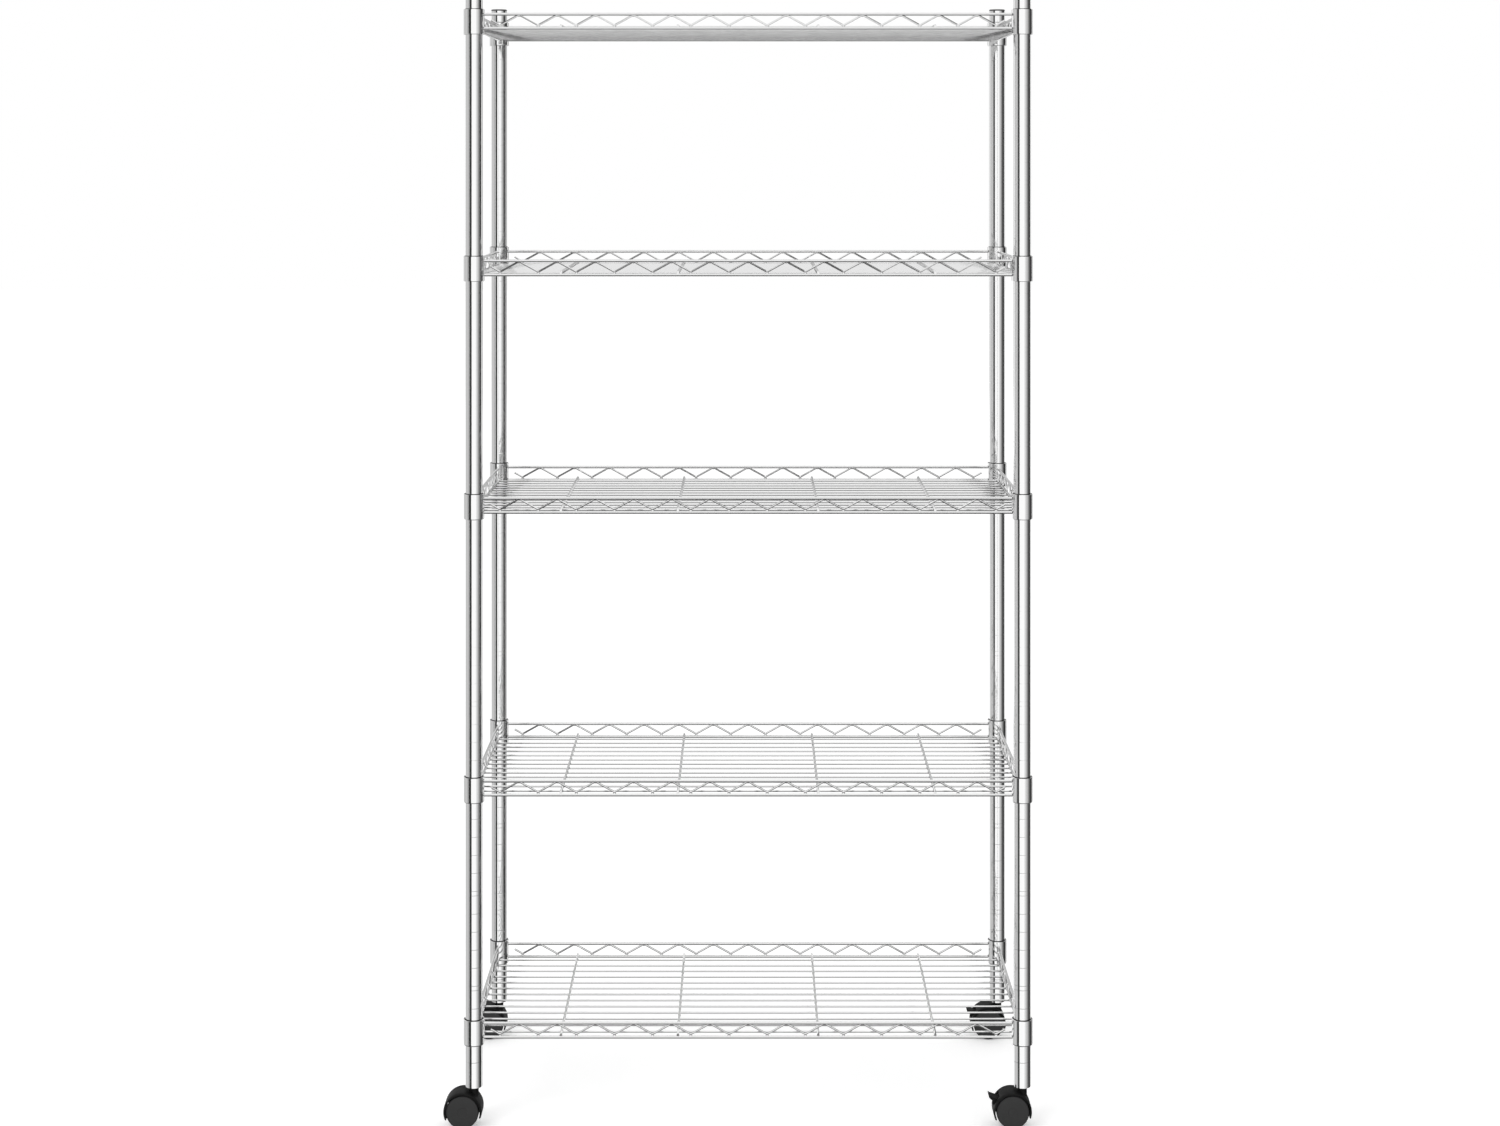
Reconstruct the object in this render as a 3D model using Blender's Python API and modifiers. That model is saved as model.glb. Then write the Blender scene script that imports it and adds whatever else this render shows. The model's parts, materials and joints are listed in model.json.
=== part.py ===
"""Five-tier wire shelving rack on four swivelling twin-wheel casters.

The frame stands on the floor at Z = 0, with +Z up, +X along the shelves and the front
at -Y. Four round posts, each screwed together from two lengths of tube, carry five
welded wire shelves. Each shelf is a weldment with a collar at every corner, and a
tapered split sleeve is wedged between each collar and its post. The shelves hang with
their deck at the lower rail, so the zigzag truss stands up as a ledge all round.
"""

from math import atan, cos, floor, pi, radians, sin, tan

import bmesh
import bpy
from mathutils import Matrix, Vector

# --- Driving dimensions, in metres -------------------------------------------------

GAP = 0.0003                # air left between two pieces that touch

POST_SPACING_X = 0.7382     # post axis to post axis along the shelf
POST_SPACING_Y = 0.3240     # post axis to post axis front to back
POST_D = 0.0233
POST_WALL = 0.0010
POST_FOOT_Z = 0.0524        # lower end of the bottom tubes
POST_TOP_Z = 1.5192         # upper end of the top tubes
INSERT_LENGTH = 0.0180      # threaded inserts pressed into the tube ends
STUD_D = 0.0100             # stud that joins two lengths of post
STUD_LENGTH = 0.0150

SHELF_Z = (0.1177, 0.4436, 0.8242, 1.1440, 1.4762)   # lower rail centres, bottom to top
JOINT_SHELF = 2             # the posts are screwed together inside this shelf's collars

RAIL_D = 0.0040             # round frame wires of a shelf
RAIL_RISE = 0.0189          # lower rail centre to upper rail centre
ZIGZAG_D = 0.0028
ZIGZAG_PITCH = 0.0514
ZIGZAG_TAIL = 0.0120        # free end of the zigzag wire beyond its last valley
ZIGZAG_PEAK_DROP = 0.0012   # zigzag peaks below the upper rail centre
ZIGZAG_VALLEY_RISE = 0.0045     # zigzag valleys above the lower rail centre
ZIGZAG_BEAD = 0.0040        # width of the weld bead between a valley and the lower rail
DECK_WIRE_D = 0.0028
DECK_WIRES = 13
DECK_EDGE = 0.0182          # rail centre to the first deck wire
DECK_DROP = 0.0001          # deck wire tops below the rail tops
CROSS_WIRE_D = 0.0036
CROSS_FOOT = 0.0030         # length of a cross wire's turned-down end on the rail
CROSS_WIRES_X = (0.0945, 0.2520)   # distances of the cross wires from the shelf's middle

COLLAR_HEIGHT = 0.0340
COLLAR_BELOW = 0.0086       # collar bottom below the lower rail centre
COLLAR_WALL_TOP = 0.00145
SLEEVE_WALL_TOP = 0.00045
SLEEVE_WALL_BOTTOM = 0.00095
SLEEVE_PROUD = 0.0008       # sleeve's top above the collar
WELD_DEPTH = 0.00065        # rail ends sunk into the collar's wall

CAP_THICKNESS = 0.0020
CAP_PLUG_LENGTH = 0.0120

WHEEL_R = 0.0220            # axis to tread flat
WHEEL_FACE_Y = 0.0170       # hood's middle plane to the wheel's outer face
WHEEL_RIM_Y = 0.0072        # middle plane to the rim's inner edge
WHEEL_RIM_WALL = 0.0032
WHEEL_DISC = 0.0022
WHEEL_EDGE = 0.0013         # bevel between tread and face
HUB_R = 0.0055
HUB_START_Y = 0.0034        # middle plane to the hub's inner end
AXLE_D = 0.0050
AXLE_BORE_R = 0.0029
AXLE_END_Y = 0.0135
TRAIL = 0.0140              # swivel axis to wheel axis

HOOD_R = 0.0259
HOOD_INNER_R = 0.0234
HOOD_HALF_WIDTH = 0.0170
HOOD_FLAT_HALF = 0.0130     # half width of the hood's crown between its chamfers
HOOD_SHOULDER = 0.0013      # drop of the chamfer at the hood's edges
HOOD_FRONT_DIP = radians(18)    # hood's leading tip below the wheel axis
HOOD_BACK_DIP = radians(24)     # hood's trailing tip below the wheel axis
WEB_HALF = 0.0025
WEB_SINK = 0.0011           # web's rim sunk into the hood
WEB_START = radians(-12)
WEB_END = radians(154)
WEB_BOSS_R = 0.0065
BARREL_R = 0.0065
BARREL_BOTTOM_Z = 0.0290
BARREL_FLOOR = 0.0016
STEM_R = 0.0036
STEM_BORE_R = 0.0040
STEM_FLANGE_R = 0.0060
STEM_FLANGE = 0.0015
STEM_THREAD_D = 0.0080
STEM_THREAD = 0.0150

LEVER_HALF_WIDTH = 0.0088
LEVER_SIDE_GAP = 0.0006     # each side of the lever in its slot
LEVER_SLOT = (radians(132), radians(168))
LEVER_SLOT_FLOOR_R = 0.0223
LEVER_PIVOT_R = 0.0195      # wheel axis to lever pivot
LEVER_PIVOT_ANGLE = radians(144)
LEVER_PIN_R = 0.0012
LEVER_PIN_BORE_R = 0.0016
LEVER_EAR_R = 0.0030
LEVER_EAR_HALF = 0.0064
LEVER_EAR_SPREAD = radians(6)
LEVER_TOE_R = 0.0239        # brake toe above the tread, brake off
LEVER_TOE = (radians(141), radians(158))
PEDAL = ((-0.0236, 0.0184), (-0.0319, 0.0207), (-0.0284, 0.0136), (-0.0254, 0.0156))

ROUND = 12                  # sides of the posts, sleeves and collars
WHEEL_SIDES = 16
HOOD_STEPS = 12
PIN_SIDES = 8

# --- Sizes that follow from them ---------------------------------------------------

POST_R = POST_D / 2
RAIL_R = RAIL_D / 2
COLLAR_BORE_TOP = POST_R + 2 * GAP + SLEEVE_WALL_TOP
COLLAR_BORE_BOTTOM = POST_R + 2 * GAP + SLEEVE_WALL_BOTTOM
COLLAR_R = COLLAR_BORE_TOP + COLLAR_WALL_TOP
COLLAR_TOP = COLLAR_HEIGHT - COLLAR_BELOW
PANEL_HALF_X = POST_SPACING_X / 2 - COLLAR_R + WELD_DEPTH
PANEL_HALF_Y = POST_SPACING_Y / 2 - COLLAR_R + WELD_DEPTH
HOOD_LEFT = TRAIL + HOOD_R
RACK_X = (HOOD_LEFT - COLLAR_R) / 2     # centres the outer box, which trails to -X

CORNERS = {
    "front_left": (-1, -1),
    "front_right": (1, -1),
    "back_left": (-1, 1),
    "back_right": (1, 1),
}
BRAKED = ("front_right", "back_right")

CHROME = ("chrome", (0.80, 0.80, 0.81), 0.12, 1.0)
STEEL = ("bright_steel", (0.60, 0.60, 0.61), 0.30, 1.0)
BLACK = ("black_nylon", (0.035, 0.035, 0.035), 0.45, 0.0)
WHEEL_GREY = ("wheel_plastic", (0.045, 0.045, 0.045), 0.50, 0.0)
SLEEVE_BLACK = ("sleeve_plastic", (0.02, 0.02, 0.02), 0.55, 0.0)


# --- Helpers -----------------------------------------------------------------------

def clear_scene():
    for old in list(bpy.data.objects):
        bpy.data.objects.remove(old, do_unlink=True)


def new_collection(name):
    group = bpy.data.collections.new(name)
    bpy.context.scene.collection.children.link(group)
    return group


def finish(look):
    """Return the material of one finish, made the first time it is asked for."""
    name, colour, roughness, metallic = look
    if name in bpy.data.materials:
        return bpy.data.materials[name]
    made = bpy.data.materials.new(name)
    made.use_nodes = True
    shader = made.node_tree.nodes["Principled BSDF"]
    shader.inputs["Base Color"].default_value = (*colour, 1)
    shader.inputs["Roughness"].default_value = roughness
    shader.inputs["Metallic"].default_value = metallic
    made.diffuse_color = (*colour, 1)
    return made


def smooth(mesh):
    mesh.shade_smooth()
    mesh.set_sharp_from_angle(angle=radians(35))


def add_object(name, mesh, group):
    made = bpy.data.objects.new(name, mesh)
    group.objects.link(made)
    return made


def corner_radius(radius, sides):
    """Radius at the corners of a regular outline whose flats lie at the given radius."""
    return radius / cos(pi / sides)


def turned(name, profile, sides):
    """Return a solid of revolution about Z, from (radius, height) points down its outside.

    Its flats lie at the radii of the profile, one of them facing +X.
    """
    bm = bmesh.new()
    half_turn = Matrix.Rotation(pi / sides, 3, "Z")
    points = [bm.verts.new(half_turn @ Vector((corner_radius(r, sides), 0, z)))
              for r, z in profile]
    for first, second in zip(points, points[1:] + points[:1]):
        on_axis = first.co.xy.length < 1e-9 and second.co.xy.length < 1e-9
        if not on_axis:
            bm.edges.new((first, second))
    mesh = bpy.data.meshes.new(name)
    bm.to_mesh(mesh)
    bm.free()
    made = add_object(name, mesh, helpers)
    screw = made.modifiers.new("turn", "SCREW")
    screw.steps = sides
    screw.render_steps = sides
    screw.use_merge_vertices = True
    screw.merge_threshold = 0.00001
    return made


def flat_piece(name, outlines, half_thickness):
    """Return a flat piece, or several side by side, extruded both ways from its outlines."""
    curve = bpy.data.curves.new(name, "CURVE")
    curve.dimensions = "2D"
    curve.fill_mode = "BOTH"
    curve.extrude = half_thickness
    for outline in outlines:
        spline = curve.splines.new("POLY")
        spline.points.add(len(outline) - 1)
        for point, (x, y) in zip(spline.points, outline):
            point.co = (x, y, 0, 1)
        spline.use_cyclic_u = True
    made = add_object(name, curve, helpers)
    mesh = evaluated_mesh(made)
    bm = bmesh.new()
    bm.from_mesh(mesh)
    bmesh.ops.remove_doubles(bm, verts=bm.verts, dist=0.000001)
    bm.to_mesh(mesh)
    bm.free()
    bpy.data.objects.remove(made, do_unlink=True)
    return add_object(name, mesh, helpers)


def upright(piece, turn_z=0.0):
    """Stand a flat piece up, its outline's second axis along +Z, then turn it about Z."""
    piece.matrix_world = Matrix.Rotation(turn_z, 4, "Z") @ Matrix.Rotation(pi / 2, 4, "X")
    return piece


def boxes(name, spans):
    """Return one object with a box for each ((x0, x1), (y0, y1), (z0, z1)) span."""
    bm = bmesh.new()
    for span in spans:
        low = Vector([side[0] for side in span])
        high = Vector([side[1] for side in span])
        place = Matrix.Translation((low + high) / 2) @ Matrix.Diagonal((*(high - low), 1))
        bmesh.ops.create_cube(bm, size=1, matrix=place)
    mesh = bpy.data.meshes.new(name)
    bm.to_mesh(mesh)
    bm.free()
    return add_object(name, mesh, helpers)


def rod(name, radius, low, high, sides, axis="Z"):
    """Return a cylinder from low to high along Z or Y, with its flats at the given radius."""
    bm = bmesh.new()
    corner = corner_radius(radius, sides)
    middle = Matrix.Translation((0, 0, (low + high) / 2)) @ Matrix.Rotation(pi / sides, 4, "Z")
    bmesh.ops.create_cone(bm, cap_ends=True, segments=sides, radius1=corner, radius2=corner,
                          depth=high - low, matrix=middle)
    if axis == "Y":
        bmesh.ops.rotate(bm, verts=bm.verts, cent=(0, 0, 0), matrix=Matrix.Rotation(-pi / 2, 3, "X"))
    mesh = bpy.data.meshes.new(name)
    bm.to_mesh(mesh)
    bm.free()
    return add_object(name, mesh, helpers)


def evaluated_mesh(source):
    bpy.context.view_layer.update()
    graph = bpy.context.evaluated_depsgraph_get()
    return bpy.data.meshes.new_from_object(source.evaluated_get(graph))


def combined(name, base, joined=(), cut=()):
    """Weld the joined pieces to the base, cut the others out and return the mesh."""
    for operation, tools in (("UNION", joined), ("DIFFERENCE", cut)):
        for tool in tools:
            step = base.modifiers.new(tool.name, "BOOLEAN")
            step.operation = operation
            step.solver = "EXACT"
            step.object = tool
    mesh = evaluated_mesh(base)
    mesh.name = name
    mesh.transform(base.matrix_world)
    for used in (base, *joined, *cut):
        bpy.data.objects.remove(used, do_unlink=True)
    return mesh


def place(name, mesh, look, location, parent=None, rotation=(0, 0, 0)):
    """Add one finished piece to the rack."""
    smooth(mesh)
    if not mesh.materials:
        mesh.materials.append(finish(look))
    made = add_object(name, mesh, rack)
    made.parent = parent
    made.location = location
    made.rotation_euler = rotation
    return made


def arc(radius, start, end, steps):
    """Points on a circle about the origin, from one angle to another."""
    angles = [start + (end - start) * step / steps for step in range(steps + 1)]
    return [(radius * cos(angle), radius * sin(angle)) for angle in angles]


def corner_place(corner):
    """Post axis of a corner, on the floor."""
    side_x, side_y = CORNERS[corner]
    return Vector((RACK_X + side_x * POST_SPACING_X / 2, side_y * POST_SPACING_Y / 2, 0))


# --- Posts -------------------------------------------------------------------------

def section_profile(low, high, stud_below, insert_above):
    """Half section of one length of post, down its outside and back up its bore."""
    bore = POST_R - POST_WALL
    insert_bore = STUD_D / 2 + GAP
    stem_bore = STEM_THREAD_D / 2 + GAP
    profile = [(POST_R, high), (POST_R, low)]
    if stud_below:
        profile += [(STUD_D / 2, low), (STUD_D / 2, low - STUD_LENGTH), (0, low - STUD_LENGTH)]
        profile += [(0, low + INSERT_LENGTH), (bore, low + INSERT_LENGTH)]
    else:
        profile += [(stem_bore, low), (stem_bore, low + INSERT_LENGTH), (bore, low + INSERT_LENGTH)]
    if insert_above:
        profile += [(bore, high - INSERT_LENGTH), (insert_bore, high - INSERT_LENGTH)]
        profile += [(insert_bore, high)]
    else:
        profile += [(bore, high)]
    return profile


def post_meshes():
    joint = SHELF_Z[JOINT_SHELF] - COLLAR_BELOW + COLLAR_HEIGHT / 2
    sections = {
        "lower": (POST_FOOT_Z, joint - GAP, False, True),
        "upper": (joint, POST_TOP_Z, True, False),
    }
    return {name: combined(f"post_{name}", turned(name, section_profile(*section), ROUND))
            for name, section in sections.items()}


def cap_mesh():
    plug_r = POST_R - POST_WALL - GAP
    low = POST_TOP_Z + GAP
    high = low + CAP_THICKNESS
    profile = [(0, high), (POST_R - CAP_THICKNESS / 2, high), (POST_R, high - CAP_THICKNESS / 2),
               (POST_R, low), (plug_r, low), (plug_r, low - CAP_PLUG_LENGTH),
               (0, low - CAP_PLUG_LENGTH)]
    return combined("post_cap", turned("cap", profile, ROUND))


def add_posts():
    meshes = post_meshes()
    cap = cap_mesh()
    for corner in CORNERS:
        for name, mesh in meshes.items():
            place(f"post_{name}_{corner}", mesh, CHROME, corner_place(corner))
        place(f"post_cap_{corner}", cap, BLACK, corner_place(corner))


# --- Shelves -----------------------------------------------------------------------

def zigzag_peaks(half_length):
    """Number of zigzag peaks each side of the middle one that fit a truss."""
    return floor((half_length - ZIGZAG_TAIL) / ZIGZAG_PITCH - 0.5)


def window_under_peak(middle, slope, half_wire):
    """Opening between two legs that meet at a peak, with a weld bead at each side."""
    apex = RAIL_RISE - ZIGZAG_PEAK_DROP - half_wire
    reach = (ZIGZAG_PITCH - ZIGZAG_BEAD) / 2
    side = apex - reach * tan(slope)
    return [(middle - reach, RAIL_R), (middle + reach, RAIL_R), (middle + reach, side),
            (middle, apex), (middle - reach, side)]


def window_over_valley(middle, slope, half_wire):
    """Triangle between two legs that meet at a valley and the upper rail."""
    apex = ZIGZAG_VALLEY_RISE + half_wire
    half_base = (RAIL_RISE - RAIL_R - apex) / tan(slope)
    return [(middle - half_base, RAIL_RISE - RAIL_R), (middle, apex),
            (middle + half_base, RAIL_RISE - RAIL_R)]


def end_window(valley, end, slope, half_wire, side):
    """Opening beside the collar, with the zigzag's free tail standing up in it."""
    half_base = (RAIL_RISE - RAIL_R - ZIGZAG_VALLEY_RISE - half_wire) / tan(slope)
    tail = (valley + ZIGZAG_TAIL, ZIGZAG_VALLEY_RISE + ZIGZAG_TAIL * tan(slope))
    across = (-ZIGZAG_D / 2 * sin(slope), ZIGZAG_D / 2 * cos(slope))
    bead = ZIGZAG_BEAD / 2
    outline = [(valley - half_base, RAIL_RISE - RAIL_R), (valley, ZIGZAG_VALLEY_RISE + half_wire),
               (tail[0] + across[0], tail[1] + across[1]),
               (tail[0] - across[0], tail[1] - across[1]),
               (valley + bead, ZIGZAG_VALLEY_RISE - half_wire + bead * tan(slope)),
               (valley + bead, RAIL_R), (end, RAIL_R), (end, RAIL_RISE - RAIL_R)]
    return [(side * x, z) for x, z in outline]


def truss(name, half_length):
    """Two rails with the zigzag wire between them: a bar with the openings cut out of it."""
    slope = atan((RAIL_RISE - ZIGZAG_PEAK_DROP - ZIGZAG_VALLEY_RISE) / (ZIGZAG_PITCH / 2))
    half_wire = ZIGZAG_D / 2 / cos(slope)
    peaks = zigzag_peaks(half_length)
    bottom, top = -RAIL_R, RAIL_RISE + RAIL_R
    openings = []
    for peak in range(-peaks, peaks + 1):
        openings.append(window_under_peak(peak * ZIGZAG_PITCH, slope, half_wire))
    for valley in range(-peaks, peaks):
        openings.append(window_over_valley((valley + 0.5) * ZIGZAG_PITCH, slope, half_wire))
    last_valley = (peaks + 0.5) * ZIGZAG_PITCH
    window_end = half_length - WELD_DEPTH / 2
    for side in (-1, 1):
        openings.append(end_window(last_valley, window_end, slope, half_wire, side))
    bar = boxes(name, [((-half_length, half_length), (bottom, top), (-RAIL_R, RAIL_R))])
    return add_object(name, combined(name, bar, cut=[flat_piece("openings", openings, RAIL_D)]),
                      helpers)


def deck_wires():
    """Straight wires along the shelf, let into the side rails at both ends."""
    top = RAIL_R - DECK_DROP
    end = POST_SPACING_X / 2 - RAIL_R / 2
    first = -POST_SPACING_Y / 2 + DECK_EDGE
    pitch = -2 * first / (DECK_WIRES - 1)
    half = DECK_WIRE_D / 2
    rows = [first + pitch * row for row in range(DECK_WIRES)]
    return boxes("deck wires", [((-end, end), (y - half, y + half), (top - DECK_WIRE_D, top))
                                for y in rows])


def cross_wire(x):
    """Wire over the deck from front to back, its ends turned down onto the lower rails."""
    low = RAIL_R - DECK_DROP + GAP
    end = (POST_SPACING_Y + CROSS_FOOT) / 2
    foot = end - CROSS_FOOT
    outline = [(-end, RAIL_R / 2), (-foot, RAIL_R / 2), (-foot, low), (foot, low),
               (foot, RAIL_R / 2), (end, RAIL_R / 2), (end, low + CROSS_WIRE_D),
               (-end, low + CROSS_WIRE_D)]
    wire = upright(flat_piece(f"cross wire {x:+.3f}", [outline], CROSS_WIRE_D / 2), pi / 2)
    wire.location.x = x
    return wire


def collar_bore(height):
    """Inner radius of the tapered collar at a height above the lower rail."""
    up = (height + COLLAR_BELOW) / COLLAR_HEIGHT
    return COLLAR_BORE_BOTTOM + (COLLAR_BORE_TOP - COLLAR_BORE_BOTTOM) * up


def collar(name, x, y):
    profile = [(COLLAR_R, COLLAR_TOP), (COLLAR_R, -COLLAR_BELOW),
               (collar_bore(-COLLAR_BELOW), -COLLAR_BELOW), (collar_bore(COLLAR_TOP), COLLAR_TOP)]
    made = turned(name, profile, ROUND)
    made.location = (x, y, 0)
    return made


def shelf_mesh():
    """One shelf, all of it welded: four trusses, the deck, the cross wires and the collars."""
    half_x = POST_SPACING_X / 2
    half_y = POST_SPACING_Y / 2
    front = upright(truss("front truss", PANEL_HALF_X))
    front.location.y = -half_y
    back = upright(truss("back truss", PANEL_HALF_X))
    back.location.y = half_y
    welded = [back]
    for side in (-1, 1):
        end = upright(truss(f"side truss {side}", PANEL_HALF_Y), pi / 2)
        end.location.x = side * half_x
        welded.append(end)
    for corner, (side_x, side_y) in CORNERS.items():
        welded.append(collar(f"collar {corner}", side_x * half_x, side_y * half_y))
    welded.append(deck_wires())
    welded += [cross_wire(side * x) for x in CROSS_WIRES_X for side in (-1, 1)]
    return combined("shelf", front, welded)


def sleeve_mesh():
    """Tapered sleeve that fills the space between collar and post."""
    top, bottom = COLLAR_TOP + SLEEVE_PROUD, -COLLAR_BELOW
    profile = [(collar_bore(COLLAR_TOP) - GAP, top), (collar_bore(COLLAR_TOP) - GAP, COLLAR_TOP),
               (collar_bore(bottom) - GAP, bottom), (POST_R + GAP, bottom), (POST_R + GAP, top)]
    return combined("sleeve", turned("sleeve", profile, ROUND))


def add_shelves():
    shelf = shelf_mesh()
    sleeve = sleeve_mesh()
    for number, height in enumerate(SHELF_Z, start=1):
        place(f"shelf_{number}", shelf, CHROME, (RACK_X, 0, height))
        for corner in CORNERS:
            spot = corner_place(corner) + Vector((0, 0, height))
            place(f"sleeve_{number}_{corner}", sleeve, SLEEVE_BLACK, spot)


# --- Casters -----------------------------------------------------------------------
# A caster is modelled about its swivel axis, with the wheel axis TRAIL to the -X side.

def about_wheel(points):
    """Shift outline points given about the wheel axis to the swivel axis and the floor."""
    return [(x - TRAIL, z + WHEEL_R) for x, z in points]


def fender():
    """Curved cover over both wheels: a chamfered section swept round the wheel axis."""
    section = [(HOOD_INNER_R, -HOOD_HALF_WIDTH), (HOOD_R - HOOD_SHOULDER, -HOOD_HALF_WIDTH),
               (HOOD_R, -HOOD_FLAT_HALF), (HOOD_R, HOOD_FLAT_HALF),
               (HOOD_R - HOOD_SHOULDER, HOOD_HALF_WIDTH), (HOOD_INNER_R, HOOD_HALF_WIDTH)]
    sweep = pi + HOOD_FRONT_DIP + HOOD_BACK_DIP
    bm = bmesh.new()
    start = Matrix.Rotation(HOOD_FRONT_DIP, 3, "Y")
    points = [bm.verts.new(start @ Vector((r, y, 0))) for r, y in section]
    face = bm.faces.new(points)
    bmesh.ops.spin(bm, geom=[face, *face.edges, *face.verts], cent=(0, 0, 0), axis=(0, -1, 0),
                   angle=sweep, steps=HOOD_STEPS)
    bmesh.ops.recalc_face_normals(bm, faces=bm.faces)
    bmesh.ops.translate(bm, verts=bm.verts, vec=(-TRAIL, 0, WHEEL_R))
    mesh = bpy.data.meshes.new("fender")
    bm.to_mesh(mesh)
    bm.free()
    return add_object("fender", mesh, helpers)


def web():
    """Plate between the wheels that ties the hood, the barrel and the axle boss together."""
    outline = arc(HOOD_INNER_R + WEB_SINK, WEB_START, WEB_END, 10)
    outline += arc(WEB_BOSS_R, radians(165), radians(330), 5)
    return upright(flat_piece("web", [about_wheel(outline)], WEB_HALF))


def lever_pivot():
    """Lever pivot, from the swivel axis and the floor."""
    (x, z), = about_wheel([(LEVER_PIVOT_R * cos(LEVER_PIVOT_ANGLE),
                            LEVER_PIVOT_R * sin(LEVER_PIVOT_ANGLE))])
    return Vector((x, 0, z))


def pivot_rod(name, radius, half_length, centre, sides):
    made = rod(name, radius, -half_length, half_length, sides, axis="Y")
    made.location = centre
    return made


def slot_cutter():
    """Block that opens the hood for the brake lever."""
    outline = arc(LEVER_SLOT_FLOOR_R, *LEVER_SLOT, 3)
    outline += arc(HOOD_R * 1.2, *reversed(LEVER_SLOT), 3)
    half_width = LEVER_HALF_WIDTH + LEVER_SIDE_GAP
    return upright(flat_piece("lever slot", [about_wheel(outline)], half_width))


def hood_mesh(braked):
    barrel_top = POST_FOOT_Z - STEM_FLANGE - 2 * GAP
    welded = [web(), rod("barrel", BARREL_R, BARREL_BOTTOM_Z, barrel_top, ROUND)]
    wheel_axis = Vector((-TRAIL, 0, WHEEL_R))
    boss_half = (WEB_HALF + HUB_START_Y) / 2
    welded.append(pivot_rod("axle boss", HUB_R, boss_half, wheel_axis, ROUND))
    stem_hole = rod("stem hole", STEM_BORE_R, BARREL_BOTTOM_Z + BARREL_FLOOR, POST_FOOT_Z, ROUND)
    axle_hole = pivot_rod("axle hole", AXLE_D / 2 + GAP, HUB_START_Y, wheel_axis, PIN_SIDES)
    holes = [stem_hole, axle_hole]
    if braked:
        holes.append(slot_cutter())
        holes.append(pivot_rod("pin hole", LEVER_PIN_BORE_R, HUB_START_Y, lever_pivot(), ROUND))
    return combined("hood_braked" if braked else "hood", fender(), welded, holes)


def stem_mesh():
    """Threaded stem: the thread goes up into the post and the pin down into the barrel."""
    flange_top = POST_FOOT_Z - GAP
    flange_bottom = flange_top - STEM_FLANGE
    top = POST_FOOT_Z + STEM_THREAD
    bottom = BARREL_BOTTOM_Z + BARREL_FLOOR + GAP
    thread_r = STEM_THREAD_D / 2
    profile = [(0, top), (thread_r, top), (thread_r, flange_top), (STEM_FLANGE_R, flange_top),
               (STEM_FLANGE_R, flange_bottom), (STEM_R, flange_bottom), (STEM_R, bottom),
               (0, bottom)]
    return combined("stem", turned("stem", profile, ROUND))


def wheel_mesh():
    """Cup-shaped wheel turned about its own Z, which points out of its face."""
    face, rim = WHEEL_FACE_Y, WHEEL_RIM_Y
    rim_inside = WHEEL_R - WHEEL_RIM_WALL
    inside = face - WHEEL_DISC
    bore_end = AXLE_END_Y + GAP
    profile = [(0, face), (WHEEL_R - WHEEL_EDGE, face), (WHEEL_R, face - WHEEL_EDGE),
               (WHEEL_R, rim), (rim_inside, rim), (rim_inside, inside), (HUB_R, inside),
               (HUB_R, HUB_START_Y), (AXLE_BORE_R, HUB_START_Y), (AXLE_BORE_R, bore_end),
               (0, bore_end)]
    return combined("wheel", turned("wheel", profile, WHEEL_SIDES))


def axle_mesh():
    return combined("axle", rod("axle", AXLE_D / 2, -AXLE_END_Y, AXLE_END_Y, PIN_SIDES, axis="Y"))


def lever_mesh():
    """Brake lever about its pivot: pedal and toe, two ears and the pin between them."""
    pivot = lever_pivot()
    toe_inner = arc(LEVER_TOE_R, *reversed(LEVER_TOE), 2)
    toe_outer = arc(HOOD_R + WHEEL_EDGE / 2, LEVER_TOE[1], LEVER_TOE[1], 1)[:1]
    shoe = upright(flat_piece("shoe", [about_wheel(toe_inner + list(PEDAL) + toe_outer)],
                              LEVER_HALF_WIDTH))
    inward = LEVER_PIVOT_ANGLE + pi
    round_end = [(pivot.x + x, pivot.z + z)
                 for x, z in arc(LEVER_EAR_R, inward - pi / 2, inward + pi / 2, 4)]
    ear_top = about_wheel(arc(LEVER_TOE_R + GAP, LEVER_PIVOT_ANGLE - LEVER_EAR_SPREAD,
                              LEVER_PIVOT_ANGLE + LEVER_EAR_SPREAD, 1))
    ears = upright(flat_piece("ears", [round_end + ear_top], LEVER_EAR_HALF))
    notch_r = LEVER_SLOT_FLOOR_R + 2 * GAP
    notch = pivot_rod("notch", notch_r, WEB_HALF + GAP, Vector((-TRAIL, 0, WHEEL_R)), 2 * ROUND)
    ear_mesh = combined("ears", ears, cut=[notch])
    ears = add_object("cut ears", ear_mesh, helpers)
    pin = pivot_rod("pin", LEVER_PIN_R, WEB_HALF + 2 * GAP, pivot, PIN_SIDES)
    mesh = combined("brake_lever", shoe, [ears, pin])
    mesh.transform(Matrix.Translation(-pivot))
    return mesh


def add_empty(name, location, parent=None):
    made = add_object(name, None, rack)
    made.parent = parent
    made.location = location
    made.empty_display_size = WHEEL_R
    return made


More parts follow.
